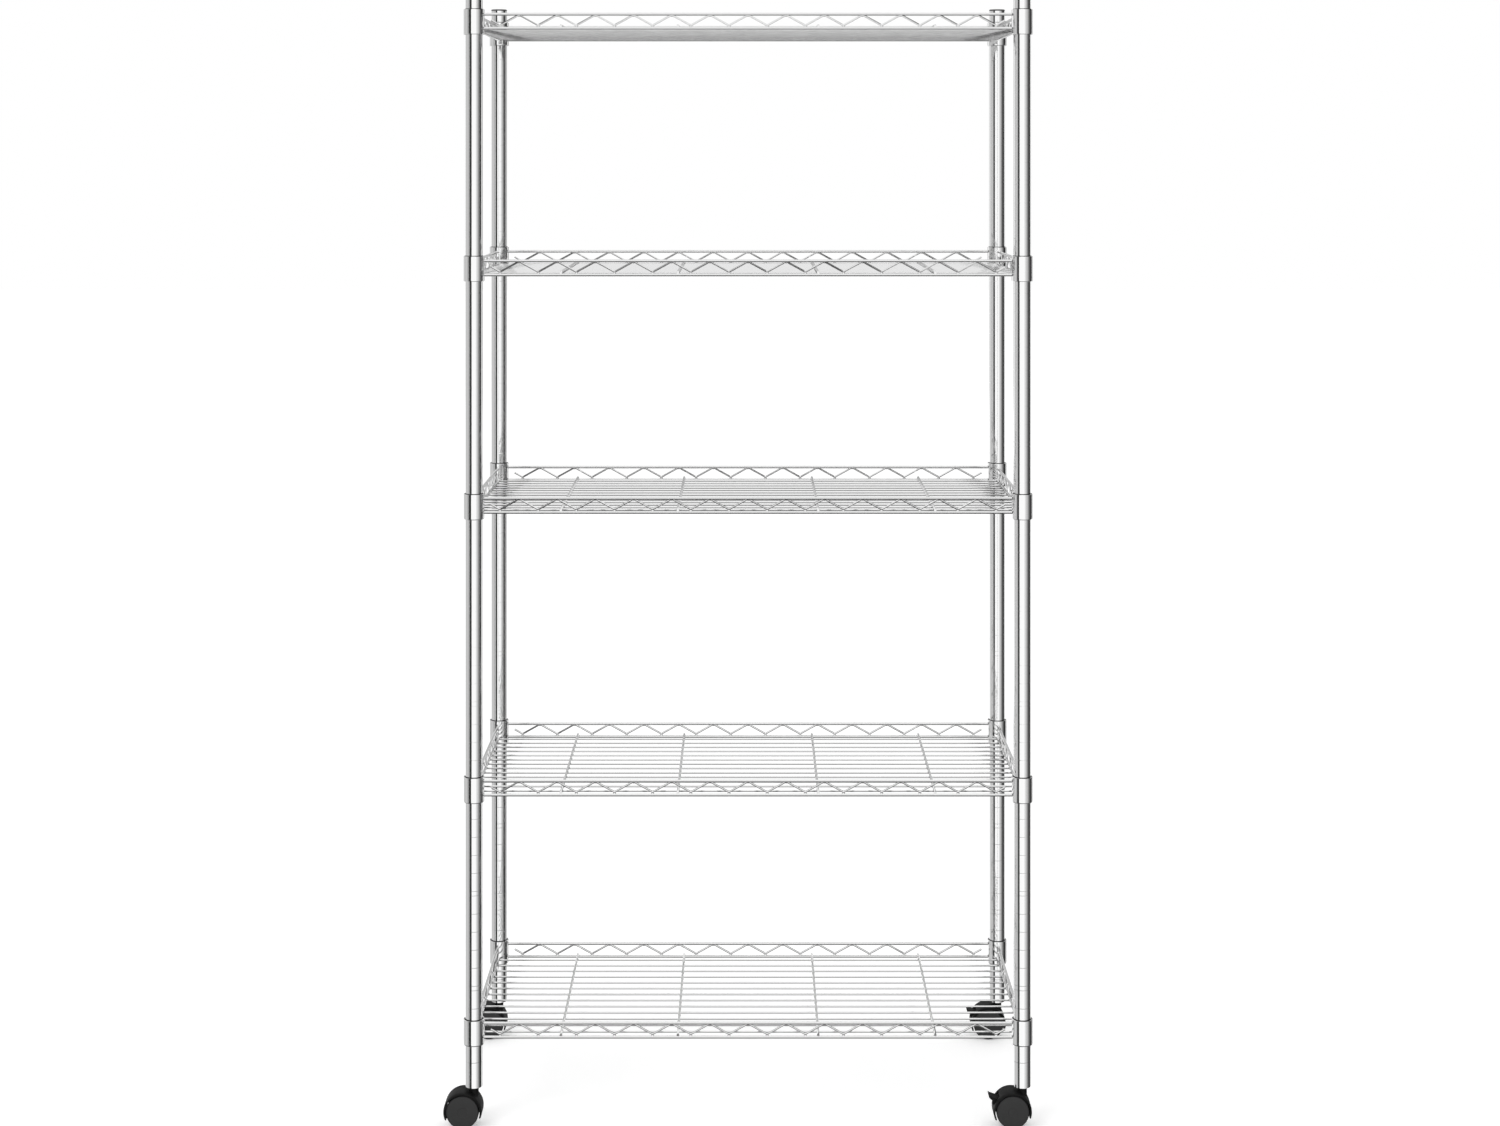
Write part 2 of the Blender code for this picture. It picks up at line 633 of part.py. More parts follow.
def add_casters():
    hoods = {braked: hood_mesh(braked) for braked in (False, True)}
    stem = stem_mesh()
    wheel = wheel_mesh()
    axle = axle_mesh()
    lever = lever_mesh()
    wheel_axis = Vector((-TRAIL, 0, WHEEL_R))
    for corner in CORNERS:
        braked = corner in BRAKED
        place(f"caster_stem_{corner}", stem, STEEL, corner_place(corner))
        swivel = add_empty(f"swivel_axis_{corner}", corner_place(corner))
        place(f"caster_hood_{corner}", hoods[braked], BLACK, (0, 0, 0), swivel)
        place(f"caster_axle_{corner}", axle, STEEL, wheel_axis, swivel)
        for side, tilt in (("near", pi / 2), ("far", -pi / 2)):
            place(f"caster_wheel_{corner}_{side}", wheel, WHEEL_GREY, wheel_axis, swivel,
                  (tilt, 0, 0))
        if braked:
            place(f"brake_lever_{corner}", lever, BLACK, lever_pivot(), swivel)


clear_scene()
rack = new_collection("wire_shelving_rack")
helpers = new_collection("cutters")
add_posts()
add_shelves()
add_casters()
bpy.data.collections.remove(helpers)
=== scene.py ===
# %% [markdown]
# # A five-tier wire shelving rack
#
# The rack is chromed steel: four grooved tubes, five welded wire shelves held to them by
# collars on tapered split sleeves, and four black twin-wheel casters with two brake levers.
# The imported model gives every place, and the sizes named here follow its own, but for the
# brake pedal, the hood's crown, the sleeve and the stem, each within a millimetre of it.
# Each shelf, post, wheel and hood is modelled again with round wires, rolled grooves and
# rounded edges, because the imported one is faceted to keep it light. Each new piece rides on
# the body of the one it stands for, so it turns and rolls with it.

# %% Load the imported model
import json
from math import atan, cos, degrees, hypot, pi, radians, sin, tan

import bpy
from mathutils import Matrix, Vector

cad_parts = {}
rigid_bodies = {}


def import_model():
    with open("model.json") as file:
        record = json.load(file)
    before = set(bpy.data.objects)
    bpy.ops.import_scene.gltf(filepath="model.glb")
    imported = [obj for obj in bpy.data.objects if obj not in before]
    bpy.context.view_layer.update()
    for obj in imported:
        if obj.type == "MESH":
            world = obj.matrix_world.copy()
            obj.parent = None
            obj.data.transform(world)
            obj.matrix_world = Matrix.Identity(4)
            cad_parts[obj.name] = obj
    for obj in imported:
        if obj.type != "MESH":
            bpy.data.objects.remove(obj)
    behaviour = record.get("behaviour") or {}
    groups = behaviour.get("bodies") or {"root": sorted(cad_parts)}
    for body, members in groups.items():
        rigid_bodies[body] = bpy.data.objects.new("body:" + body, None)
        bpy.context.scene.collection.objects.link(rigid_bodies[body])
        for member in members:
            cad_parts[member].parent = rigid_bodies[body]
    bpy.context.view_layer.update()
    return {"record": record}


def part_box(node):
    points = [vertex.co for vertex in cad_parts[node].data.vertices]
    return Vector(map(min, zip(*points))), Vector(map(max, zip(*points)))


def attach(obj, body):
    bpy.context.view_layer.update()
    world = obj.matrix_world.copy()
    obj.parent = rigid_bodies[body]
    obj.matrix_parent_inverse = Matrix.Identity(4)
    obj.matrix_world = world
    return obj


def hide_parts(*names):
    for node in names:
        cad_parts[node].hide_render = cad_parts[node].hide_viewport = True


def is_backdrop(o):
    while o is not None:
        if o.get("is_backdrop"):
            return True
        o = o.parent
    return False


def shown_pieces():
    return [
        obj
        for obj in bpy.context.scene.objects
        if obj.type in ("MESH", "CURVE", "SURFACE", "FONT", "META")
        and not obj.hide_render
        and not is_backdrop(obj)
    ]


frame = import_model()

# %% [markdown]
# ## Places
#
# The four post axes and the five shelf heights set everything else. They are read from the
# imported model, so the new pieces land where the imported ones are.

# %% Where the posts and shelves stand
CORNERS = ("front_left", "front_right", "back_left", "back_right")
BRAKED = ("front_right", "back_right")


def middle(node):
    low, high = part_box(node)
    return (low + high) / 2


POST_AXIS = {corner: Vector((*middle(f"post_lower_{corner}").xy, 0)) for corner in CORNERS}
RACK_X = (POST_AXIS["front_left"].x + POST_AXIS["front_right"].x) / 2
HALF_X = (POST_AXIS["front_right"].x - POST_AXIS["front_left"].x) / 2
HALF_Y = (POST_AXIS["back_left"].y - POST_AXIS["front_left"].y) / 2
COLLAR_HEIGHT = 0.034
COLLAR_BELOW = 0.0086      # collar bottom below the lower rail's centre
SHELF_Z = [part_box(f"shelf_{tier}")[0].z + COLLAR_BELOW for tier in range(1, 6)]
print("post axes", round(2000 * HALF_X, 1), "by", round(2000 * HALF_Y, 1), "mm apart")
print("lower rails at", [round(1000 * z, 1) for z in SHELF_Z], "mm")

# %% [markdown]
# ## The camera
#
# The lens stands level at a little over eye height, 3.2 metres in front of the front posts.
# A downward shift brings the low shelves into the picture and keeps the posts upright,
# where tilting the camera would make them lean together.

# %% Set up the camera
lens = bpy.data.cameras.new("camera")
camera = bpy.data.objects.new("camera", lens)
bpy.context.scene.collection.objects.link(camera)
bpy.context.scene.camera = camera
LENS_BACK = 3.370          # from the middle of the rack to the lens
EYE_HEIGHT = 1.3029
camera.location = (RACK_X, -LENS_BACK, EYE_HEIGHT)
camera.rotation_euler = (pi / 2, 0, 0)
lens.sensor_width = 36
lens.lens = 57.17
lens.shift_x = 0.0013
lens.shift_y = -0.2707
lens.clip_start = 0.05
lens.clip_end = 60
print("camera", [round(v, 3) for v in camera.location], "lens", lens.lens, "mm")

# %% [markdown]
# ## The studio
#
# Chrome shows only what stands round it, so the studio is what gives it its look: a white
# room, and a ring of upright boards from pale to black that shows only in reflections. Each
# board puts one stripe down the tubes. Level boards above and below, and one behind, do the
# same for the wires, which lie flat or slant and so see other parts of the room.

# %% Colours and nodes


def colour(code):
    """Turn an sRGB hex code into the linear colour that a socket takes."""
    parts = [int(code[i:i + 2], 16) / 255 for i in (0, 2, 4)]
    linear = [p / 12.92 if p <= 0.04045 else ((p + 0.055) / 1.055) ** 2.4 for p in parts]
    return (*linear, 1)


def node(tree, kind, links=None, **settings):
    """Add a node to a tree; settings with a socket's name fill that socket."""
    made = tree.nodes.new(kind)
    for name, value in settings.items():
        if hasattr(made, name):
            setattr(made, name, value)
        else:
            made.inputs[name.replace("_", " ")].default_value = value
    for socket, source in (links or {}).items():
        tree.links.new(source, made.inputs[socket])
    return made


def new_material(name):
    made = bpy.data.materials.new(name)
    made.use_nodes = True
    made.node_tree.nodes.clear()
    return made, made.node_tree


# %% [markdown]
# ## Floor and room
#
# The floor is one matt white sheet. It glows a little for the camera only, so that it meets
# the white room without an edge. The chrome does not mirror it.

# %% Floor and world
def seen_directly(tree):
    """1 for rays from the camera or from a reflection, 0 for the light itself."""
    path = node(tree, "ShaderNodeLightPath")
    seen = path.outputs["Is Camera Ray"]
    for ray in ("Is Glossy Ray", "Is Transmission Ray"):
        seen = node(tree, "ShaderNodeMath", {0: seen, 1: path.outputs[ray]},
                    operation="MAXIMUM").outputs[0]
    return seen


scene = bpy.context.scene
scene.view_settings.view_transform = "Standard"
world = bpy.data.worlds.new("white room")
scene.world = world
world.use_nodes = True
room = world.node_tree
room.nodes.clear()
soft = node(room, "ShaderNodeBackground", Color=colour("FFFFFF"), Strength=0.75)
white = node(room, "ShaderNodeBackground", Color=colour("FFFFFF"), Strength=1.0)
sky = node(room, "ShaderNodeMixShader", {0: seen_directly(room), 1: soft.outputs[0],
                                         2: white.outputs[0]})
node(room, "ShaderNodeOutputWorld", {"Surface": sky.outputs[0]})

bpy.ops.object.select_all(action="DESELECT")
bpy.ops.mesh.primitive_plane_add(size=40, location=(0, 0, -0.0005))
floor = bpy.context.object
floor.name = "floor"
floor.visible_glossy = False
floor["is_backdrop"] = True
paint, tree = new_material("matt white floor")
matt = node(tree, "ShaderNodeBsdfDiffuse", Color=colour("FFFFFF"))
glow = node(tree, "ShaderNodeEmission", Color=colour("FFFFFF"), Strength=0.30)
both = node(tree, "ShaderNodeAddShader", {0: matt.outputs[0], 1: glow.outputs[0]})
path = node(tree, "ShaderNodeLightPath")
eye = node(tree, "ShaderNodeMixShader", {0: path.outputs["Is Camera Ray"], 1: matt.outputs[0],
                                         2: both.outputs[0]})
node(tree, "ShaderNodeOutputMaterial", {"Surface": eye.outputs[0]})
floor.data.materials.append(paint)
print("floor", [round(v) for v in floor.dimensions.xy], "m, in a white room")


# %% [markdown]
# ## Lamp and boards
#
# One soft lamp from the upper left gives the plastics their shape. The boards are placed by
# the angle they stand at round the rack, counted from the camera's side.

# %% Lamp and boards
def lamp(name, place, target, size, watts):
    light = bpy.data.lights.new(name, "AREA")
    light.shape = "SQUARE"
    light.size = size
    light.energy = watts
    made = bpy.data.objects.new(name, light)
    scene.collection.objects.link(made)
    made.location = place
    made.rotation_euler = (Vector(target) - Vector(place)).to_track_quat("-Z", "Y").to_euler()
    made.visible_glossy = False
    return made


def board(name, turn, width, code, distance=5.0, low=-4.0, high=5.0):
    """Stand an upright board round the rack, turn degrees from the camera's side."""
    bpy.ops.object.select_all(action="DESELECT")
    side = Vector((sin(radians(turn)), -cos(radians(turn)), 0))
    bpy.ops.mesh.primitive_plane_add(size=1, rotation=(pi / 2, 0, radians(turn)),
                                     location=side * distance + Vector((0, 0, (low + high) / 2)))
    made = bpy.context.object
    made.name = name
    made.scale = (2 * distance * tan(radians(width / 2)), high - low, 1)
    return hide_board(made, name, code)


def hide_board(made, name, code):
    """Let a board show only in reflections."""
    made.visible_camera = made.visible_diffuse = made.visible_shadow = False
    paint, tree = new_material(name)
    shade = node(tree, "ShaderNodeEmission", Color=colour(code), Strength=1.0)
    node(tree, "ShaderNodeOutputMaterial", {"Surface": shade.outputs[0]})
    made.data.materials.append(paint)
    made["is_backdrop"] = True
    return made


lamp("key", (-2.2, -3.0, 3.2), (0, 0, 0.7), 2.0, 40)
board("dark board left", -42, 23, "333333", distance=2.4, low=-2.5, high=4)
board("grey board left front", -60, 14, "949494")
board("grey board left side", -98, 62, "C6C6C6")
board("pale board right front", 35, 16, "E2E2E2")
board("grey board right front", 52, 18, "BEBEBE")
board("grey board right side", 68, 14, "8C8C8C")
board("dark board right side", 86, 22, "525252")
board("black board right", 109, 27, "161616")
board("dark board right behind", 147, 16, "464646")


def flat_board(name, height, width, depth, code, aside=0.0):
    """Lay a board level, over or under the rack."""
    bpy.ops.object.select_all(action="DESELECT")
    bpy.ops.mesh.primitive_plane_add(size=1, location=(aside, 0, height))
    bpy.context.object.scale = (width, depth, 1)
    return hide_board(bpy.context.object, name, code)


flat_board("pale board above", 5.0, 12, 12, "F4F4F4")
flat_board("grey board above left", 4.9, 4.2, 12, "A8A8A8", -3.9)
flat_board("dark board above right", 4.9, 4.2, 12, "484848", 3.9)
flat_board("dark board below", -3.2, 10, 10, "4C4C4C")
board("grey board behind", 180, 60, "C4C4C4", distance=6.0, low=0.3, high=3.2)

# %% [markdown]
# ## Bright chrome
#
# The tubes, wires and collars are steel with decorative chrome plating: a mirror-like metal,
# slightly bluish and a little duller than silver. Its reflections wander a little,
# because drawn tube and wire are never perfectly straight.


# %% Chrome plating
def chrome(name, code, roughness, waviness, wave_mm):
    """Bright chrome plating over drawn steel."""
    made, tree = new_material(name)
    where = node(tree, "ShaderNodeTexCoord")
    # the steel under the plating is drawn, so it is wavy over a few centimetres
    waves = node(tree, "ShaderNodeTexNoise", {"Vector": where.outputs["Object"]},
                 Scale=1000 / wave_mm, Detail=2.0, Roughness=0.5)
    bend = node(tree, "ShaderNodeBump", {"Height": waves.outputs["Fac"]}, Strength=waviness,
                Distance=0.001)
    # light haze in cloudy patches about 17 mm across, as from handling
    haze = node(tree, "ShaderNodeTexNoise", {"Vector": where.outputs["Object"]}, Scale=60.0,
                Detail=3.0)
    rough = node(tree, "ShaderNodeMapRange", {"Value": haze.outputs["Fac"]}, From_Min=0.35,
                 From_Max=0.7, To_Min=roughness, To_Max=roughness * 1.6)
    metal = node(tree, "ShaderNodeBsdfPrincipled",
                 {"Normal": bend.outputs[0], "Roughness": rough.outputs[0]},
                 Base_Color=colour(code), Metallic=1.0)
    node(tree, "ShaderNodeOutputMaterial", {"Surface": metal.outputs[0]})
    return made


# the tubes look glassy, with sharp stripes; the thin wires are a little softer and greyer
TUBE_CHROME = chrome("bright chrome on tube", "FBFBFB", 0.05, 0.012, 25)
WIRE_CHROME = chrome("bright chrome on wire", "F0F0F0", 0.10, 0.004, 25)
print("chrome:", TUBE_CHROME.name, "and", WIRE_CHROME.name)


# %% [markdown]
# ## Plastics
#
# Hoods, wheels, caps and sleeves are moulded. The mould's fine grain makes them satin, and
# where hands and floors rub them they turn a little glossier in patches.

# %% Moulded plastics
def moulded(name, code, roughness, shine, grain_mm, depth):
    """Injection-moulded plastic with the fine spark-eroded grain of its mould."""
    made, tree = new_material(name)
    where = node(tree, "ShaderNodeTexCoord")
    grain = node(tree, "ShaderNodeTexNoise", {"Vector": where.outputs["Object"]},
                 Scale=1000 / grain_mm, Detail=4.0, Roughness=0.6)
    pits = node(tree, "ShaderNodeBump", {"Height": grain.outputs["Fac"]}, Strength=depth,
                Distance=0.0002)
    # rubbed patches about 11 mm across
    rub = node(tree, "ShaderNodeTexNoise", {"Vector": where.outputs["Object"]}, Scale=90.0,
               Detail=3.0)
    rough = node(tree, "ShaderNodeMapRange", {"Value": rub.outputs["Fac"]}, From_Min=0.3,
                 From_Max=0.7, To_Min=roughness - 0.06, To_Max=roughness + 0.06)
    skin = node(tree, "ShaderNodeBsdfPrincipled",
                {"Normal": pits.outputs[0], "Roughness": rough.outputs[0]},
                Base_Color=colour(code), Metallic=0.0, IOR=1.5, Specular_IOR_Level=shine)
    node(tree, "ShaderNodeOutputMaterial", {"Surface": skin.outputs[0]})
    return made


# the hoods look matt black, the wheels a shade greyer, the caps mid grey
HOOD_NYLON = moulded("black nylon", "121212", 0.62, 0.22, 0.9, 0.25)
WHEEL_PLASTIC = moulded("dark grey polypropylene", "363636", 0.60, 0.25, 0.9, 0.2)
CAP_PLASTIC = moulded("grey polyethylene cap", "5A5A5A", 0.45, 0.4, 0.8, 0.15)
SLEEVE_PLASTIC = moulded("black ABS sleeve", "121212", 0.50, 0.3, 0.8, 0.2)
print("plastics:", ", ".join(m.name for m in (HOOD_NYLON, WHEEL_PLASTIC, CAP_PLASTIC,
                                              SLEEVE_PLASTIC)))


# %% [markdown]
# ## Zinc
#
# Stems and axles are turned steel with bright zinc, which looks softer and greyer than the
# chrome. Little of them shows.

# %% Zinc plating
def zinc(name, roughness):
    """Bright zinc plating on a turned steel pin, with fine rings left by the lathe."""
    made, tree = new_material(name)
    where = node(tree, "ShaderNodeTexCoord")
    # rings a third of a millimetre apart; a lathe's own are finer
    rings = node(tree, "ShaderNodeTexWave", {"Vector": where.outputs["Object"]}, Scale=900.0,
                 Distortion=0.4, Detail=1.0, wave_type="BANDS", bands_direction="Z")
    cut = node(tree, "ShaderNodeBump", {"Height": rings.outputs["Fac"]}, Strength=0.15,
               Distance=0.0001)
    metal = node(tree, "ShaderNodeBsdfPrincipled", {"Normal": cut.outputs[0]},
                 Base_Color=colour("C9CBCC"), Roughness=roughness, Metallic=1.0)
    node(tree, "ShaderNodeOutputMaterial", {"Surface": metal.outputs[0]})
    return made


PIN_ZINC = zinc("bright zinc on steel", 0.28)
print("pins:", PIN_ZINC.name)


# %% [markdown]
# ## Helpers for modelling
#
# Round pieces are turned as on a lathe: an outline is drawn point by point from one vertex,
# then spun about its axis. Wires are extruded from a filled circle and bent with spin.

# %% Helpers
SEAM_WELD = 0.00002        # points nearer than this are made one


def begin():
    bpy.ops.object.select_all(action="DESELECT")


def shape_done(piece, name, material, angle=30):
    """Leave edit mode, face everything outwards, and smooth what isn't a real edge."""
    bpy.ops.mesh.select_all(action="SELECT")
    bpy.ops.mesh.normals_make_consistent(inside=False)
    bpy.ops.object.mode_set(mode="OBJECT")
    bpy.ops.object.transform_apply(location=True, rotation=True, scale=True)
    bpy.ops.object.shade_smooth_by_angle(angle=radians(angle))
    piece.name = piece.data.name = name
    piece.data.materials.clear()
    piece.data.materials.append(material)
    return piece


def turned(name, outline, steps, material, angle=30):
    """Turn an outline of (radius, height) points about Z, as on a lathe."""
    begin()
    bpy.ops.mesh.primitive_plane_add(size=0.001)
    piece = bpy.context.object
    bpy.ops.object.mode_set(mode="EDIT")
    bpy.ops.mesh.merge(type="CENTER")
    bpy.ops.transform.translate(value=(outline[0][0], 0, outline[0][1]))
    for (r0, z0), (r1, z1) in zip(outline, outline[1:]):
        bpy.ops.mesh.extrude_region_move(TRANSFORM_OT_translate={"value": (r1 - r0, 0, z1 - z0)})
    bpy.ops.mesh.select_all(action="SELECT")
    bpy.ops.mesh.spin(steps=steps, angle=2 * pi, center=(0, 0, 0), axis=(0, 0, 1))
    bpy.ops.mesh.select_all(action="SELECT")
    # the moves' rounding adds up along a long outline, so the weld has room to spare
    bpy.ops.mesh.remove_doubles(threshold=SEAM_WELD)
    return shape_done(piece, name, material, angle)


def draw_outline(points):
    """In edit mode: draw a closed outline from one vertex and fill it."""
    bpy.ops.mesh.primitive_plane_add(size=0.001, location=points[0])
    bpy.ops.mesh.merge(type="CENTER")
    for a, b in zip(points, points[1:]):
        bpy.ops.mesh.extrude_region_move(TRANSFORM_OT_translate={"value": Vector(b) - Vector(a)})
    bpy.ops.mesh.select_linked()
    bpy.ops.mesh.edge_face_add()


def joined(name, first, *others):
    begin()
    for piece in (first, *others):
        piece.select_set(True)
    bpy.context.view_layer.objects.active = first
    bpy.ops.object.join()
    first.name = first.data.name = name
    return first


def copy_of(piece, name, place=(0, 0, 0), turn=None):
    """A copy with its own mesh, moved into place by its vertices."""
    made = piece.copy()
    made.data = piece.data.copy()
    made.name = made.data.name = name
    bpy.context.scene.collection.objects.link(made)
    if turn is not None:
        made.data.transform(turn)
    made.data.transform(Matrix.Translation(place))
    return made


BODY = {node: body for body, nodes in frame["record"]["behaviour"]["bodies"].items()
        for node in nodes}


def fit(piece, node):
    """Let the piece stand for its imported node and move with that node's body."""
    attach(piece, BODY[node])
    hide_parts(node)
    return piece


def discard(*pieces):
    for piece in pieces:
        bpy.data.objects.remove(piece, do_unlink=True)


# %% [markdown]
# ## Posts
#
# The tube has grooves rolled into it: singles an inch or so apart, and a double groove that
# comes back every five inches and helps the eye to set all four corners level. Each post
# is two lengths screwed together inside the third shelf's collars.

# %% Post lengths
POST_R = 0.01165
POST_WALL = 0.0010
GROOVE_HALF = 0.0006
GROOVE_DEPTH = 0.00014


def groove_heights(start, end, double):
    """Groove heights between two levels, counted from one double groove."""
    steps = (0, 0.0060, 0.0302, 0.0544, 0.0786, 0.1028)
    period = 0.1273
    first = int((start - double) / period) - 1
    heights = [double - 0.0030 + period * k + s for k in range(first, first + 14) for s in steps]
    return [h for h in heights if start + 0.025 < h < end - 0.003]


def tube_outline(low, high, grooves):
    """Outline of a tube: up its bore and down its grooved outside."""
    bore = POST_R - POST_WALL
    outline = [(bore, low), (bore, high), (POST_R - 0.0002, high), (POST_R, high - 0.0002)]
    for h in sorted(grooves, reverse=True):
        # a second point just outside each shoulder keeps the tube between grooves straight
        outline += [(POST_R, h + GROOVE_HALF + 0.0002), (POST_R, h + GROOVE_HALF),
                    (POST_R - 0.7 * GROOVE_DEPTH, h + GROOVE_HALF / 2),
                    (POST_R - GROOVE_DEPTH, h), (POST_R - 0.7 * GROOVE_DEPTH, h - GROOVE_HALF / 2),
                    (POST_R, h - GROOVE_HALF), (POST_R, h - GROOVE_HALF - 0.0002)]
    outline += [(POST_R, low + 0.0002), (POST_R - 0.0002, low), (bore, low)]
    return outline


LOWER = [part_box("post_lower_front_left")[i].z for i in (0, 1)]
SPIGOT = 0.015             # the upper length's stud goes this far into the lower one
UPPER = [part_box("post_upper_front_left")[0].z + SPIGOT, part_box("post_upper_front_left")[1].z]
grooves = groove_heights(*LOWER, 0.1864)
lower_post = turned("lower length", tube_outline(*LOWER, grooves), 36, TUBE_CHROME, 25)
above = groove_heights(UPPER[0], 1.150, 0.9166) + groove_heights(1.150, UPPER[1], 1.2686)
upper_post = turned("upper length", tube_outline(*UPPER, above), 36, TUBE_CHROME, 25)
print(len(grooves), "and", len(above), "grooves on a post")

for corner in CORNERS:
    for name, shape in (("lower", lower_post), ("upper", upper_post)):
        post = copy_of(shape, f"post_{name}_length_{corner}", POST_AXIS[corner])
        fit(post, f"post_{name}_{corner}")
discard(lower_post, upper_post)

# %% [markdown]
# ## Caps
#
# A plastic plug closes each tube. Its head is a shallow dome as wide as the tube, and a
# skirt under it grips the bore.

# %% Caps
cap_low, cap_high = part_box("post_cap_front_left")
head = 0.0020
top = cap_high.z
cap_shape = turned("cap", [(0, top), (POST_R * 0.5, top - 0.00005),
                           (POST_R - 0.0010, top - 0.0002),
                           (POST_R - 0.0004, top - 0.0005), (POST_R - 0.0001, top - 0.0010),
                           (POST_R, top - head), (POST_R - POST_WALL - 0.0002, top - head),
                           (POST_R - POST_WALL - 0.0002, top - head - 0.0115),
                           (POST_R - POST_WALL - 0.0006, cap_low.z),
                           (0, cap_low.z)], 40, CAP_PLASTIC)
for corner in CORNERS:
    cap = copy_of(cap_shape, f"cap_{corner}", POST_AXIS[corner])
    fit(cap, f"post_cap_{corner}")
discard(cap_shape)
print("four caps, top at", round(top * 1000, 1), "mm")

# %% [markdown]
# ## Shelves
#
# A shelf is one weldment. Round rails make the front, back and side trusses, each with
# a zigzag wire between its two rails. Thirteen thin wires run along the deck at the
# lower rail, and four thicker ones cross over them from front to back. One shelf is
# modelled and copied to all five heights.

# %% Shelf sizes
RAIL_R = 0.0020
RAIL_RISE = 0.0189         # lower rail's centre to the upper rail's
ZIGZAG_R = 0.0014
ZIGZAG_PITCH = 0.0514
PEAK_DROP = 0.0012         # zigzag peaks below the upper rail's centre
VALLEY_RISE = 0.0045       # zigzag valleys above the lower rail's centre
BEND_R = 0.0035            # radius of a bend at the wire's centre
TAIL = 0.0120
DECK_R = 0.0014
CROSS_R = 0.0018
CROSS_X = (0.0945, 0.2520)
DECK_WIRES = 13
DECK_EDGE = 0.0182
COLLAR_R = 0.01415
X, Y, Z = Vector((1, 0, 0)), Vector((0, 1, 0)), Vector((0, 0, 1))


# %% [markdown]
# ## Wires
#
# A wire is drawn as a machine would bend it: a straight run, a bend round a former, the
# next run. The zigzag's legs are worked out from its pitch, its rise and its bend radius.

# %% Wires
def lay_wire(radius, start, *runs, sides=12):
    """Start a round wire with a filled circle and extrude it along each run."""
    face = Vector(runs[0]).to_track_quat("Z", "Y").to_euler()
    bpy.ops.mesh.primitive_circle_add(vertices=sides, radius=radius, fill_type="NGON",
                                      location=start, rotation=face)
    for run in runs:
        bpy.ops.mesh.extrude_region_move(TRANSFORM_OT_translate={"value": Vector(run)})


def bend_wire(centre, axis, turn, steps=3):
    """Bend the wire's selected end round a centre, right-handed about the axis."""
    bpy.ops.mesh.spin(steps=steps, angle=-turn, center=centre, axis=axis)


def zigzag(origin, along, peaks):
    """One zigzag wire in the upright plane of along, with its middle peak over origin."""
    rise = RAIL_RISE - PEAK_DROP - VALLEY_RISE
    half = ZIGZAG_PITCH / 2
    # the legs meet at a sharp point a little beyond each bend's own
    slope = atan(rise / half)
    for _ in range(4):
        over = BEND_R * (1 / cos(slope) - 1)
        slope = atan((rise + 2 * over) / half)
    setback = BEND_R * tan(slope)
    reach = hypot(half, rise + 2 * over)
    normal = along.cross(Z)
    up = along * cos(slope) + Z * sin(slope)
    down = along * cos(slope) - Z * sin(slope)
    low, high = VALLEY_RISE - over, RAIL_RISE - PEAK_DROP + over
    here = origin - along * (half * (2 * peaks + 1)) + Z * low
    tail = TAIL / cos(slope)
    start = here - down * tail
    end_ring = 0.0004      # one more ring just behind the wire's cut end
    lay_wire(ZIGZAG_R, start, down * end_ring, down * (tail - end_ring - setback), sides=8)
    here = start + down * (tail - setback)
    rising = True
    for bend in range(4 * peaks + 3):
        before, after = (down, up) if rising else (up, down)
        side = before.cross(normal) if rising else normal.cross(before)
        side = side if (side.z > 0) == rising else -side
        centre = here + side * BEND_R
        bend_wire(centre, normal if rising else -normal, 2 * slope)
        here = here + before * setback + after * setback
        last = bend == 4 * peaks + 2
        length = tail - setback if last else reach - 2 * setback
        bpy.ops.mesh.extrude_region_move(TRANSFORM_OT_translate={"value": after * length})
        here = here + after * length
        rising = not rising
    return slope


def weld_bead(place, size):
    """A small flattened bead of melted steel."""
    bpy.ops.mesh.primitive_uv_sphere_add(segments=8, ring_count=5, radius=1, location=place)
    bpy.ops.transform.resize(value=size, center_override=place)


# %% [markdown]
# ## Collars
#
# A collar is a short tapered ring of tube, welded into each corner of the shelf. Its top
# lip is turned over and its foot is rounded in, and both catch a dark line.

# %% Collars
def collar_outline():
    low, high = -COLLAR_BELOW, COLLAR_HEIGHT - COLLAR_BELOW
    bore_low, bore_high = 0.0132, 0.0127
    lip, foot, foot_rise = 0.0005, 0.0008, 0.0015
    return [(bore_low, low + 0.0002), (bore_high, high - 0.0002), (bore_high + 0.0003, high),
            (COLLAR_R - lip, high), (COLLAR_R - lip * 0.3, high - lip * 0.3),
            (COLLAR_R, high - lip), (COLLAR_R, high - lip - 0.0003),
            (COLLAR_R, low + foot_rise + 0.0003), (COLLAR_R, low + foot_rise),
            (COLLAR_R - foot * 0.13, low + foot_rise * 0.5),
            (COLLAR_R - foot * 0.5, low + foot_rise * 0.13),
            (COLLAR_R - foot, low), (bore_low + 0.0002, low), (bore_low, low + 0.0002)]


collar = turned("collar", collar_outline(), 40, TUBE_CHROME)
print("collar", round(1000 * COLLAR_HEIGHT, 1), "mm tall,", len(collar.data.polygons), "faces")

# %% [markdown]
# ## One shelf
#
# The rails end in the collars' walls. The deck wires lie along the shelf at the lower rail
# and the cross wires over them, with their ends turned down on the rail. Every crossing
# gets the small bead that spot welding leaves.

